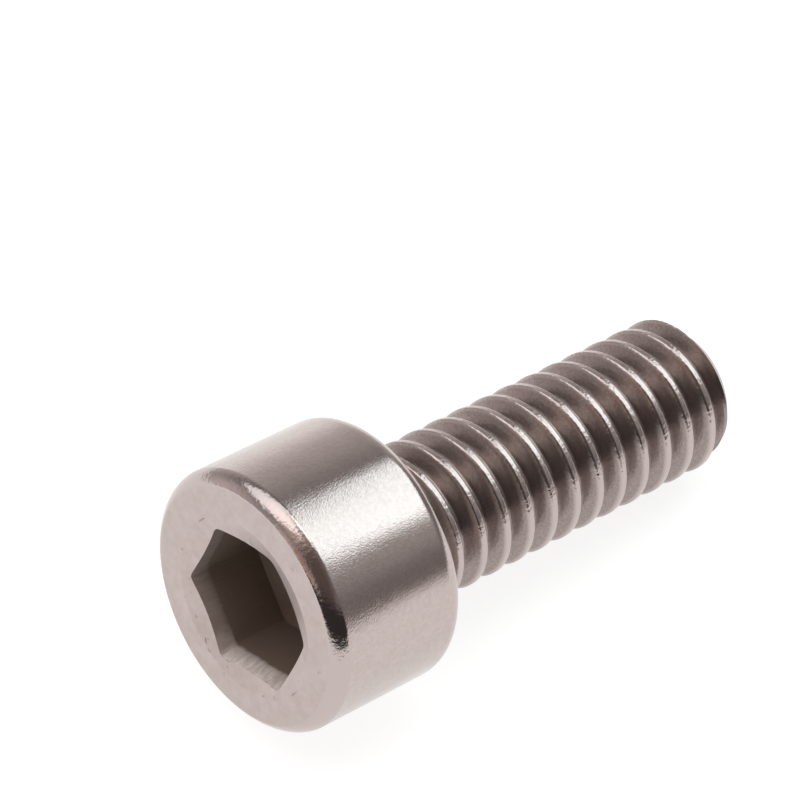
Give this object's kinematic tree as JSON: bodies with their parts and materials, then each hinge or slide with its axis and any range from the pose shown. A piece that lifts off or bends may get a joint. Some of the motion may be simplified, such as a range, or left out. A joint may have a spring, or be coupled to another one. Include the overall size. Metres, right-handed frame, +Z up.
{
  "type": "socket head cap screw",
  "caption": "Stainless steel socket head cap screw: cylindrical head with a hexagon socket, right-hand thread up to the head, chamfered end.",
  "frame": {"origin": "floor point under the middle of the lying screw's bounding box", "axes": "+X along the lying screw towards its thread end, level with the floor, +Z up; the screw's own axis dips 7.59 degrees below +X"},
  "size_m": [0.0154, 0.0068, 0.0072],
  "materials": {
    "stainless_steel": "cold headed and thread rolled, satin face, bright side"
  },
  "bodies": {
    "root": {"cap_screw": "stainless_steel"}
  },
  "joints": []
}
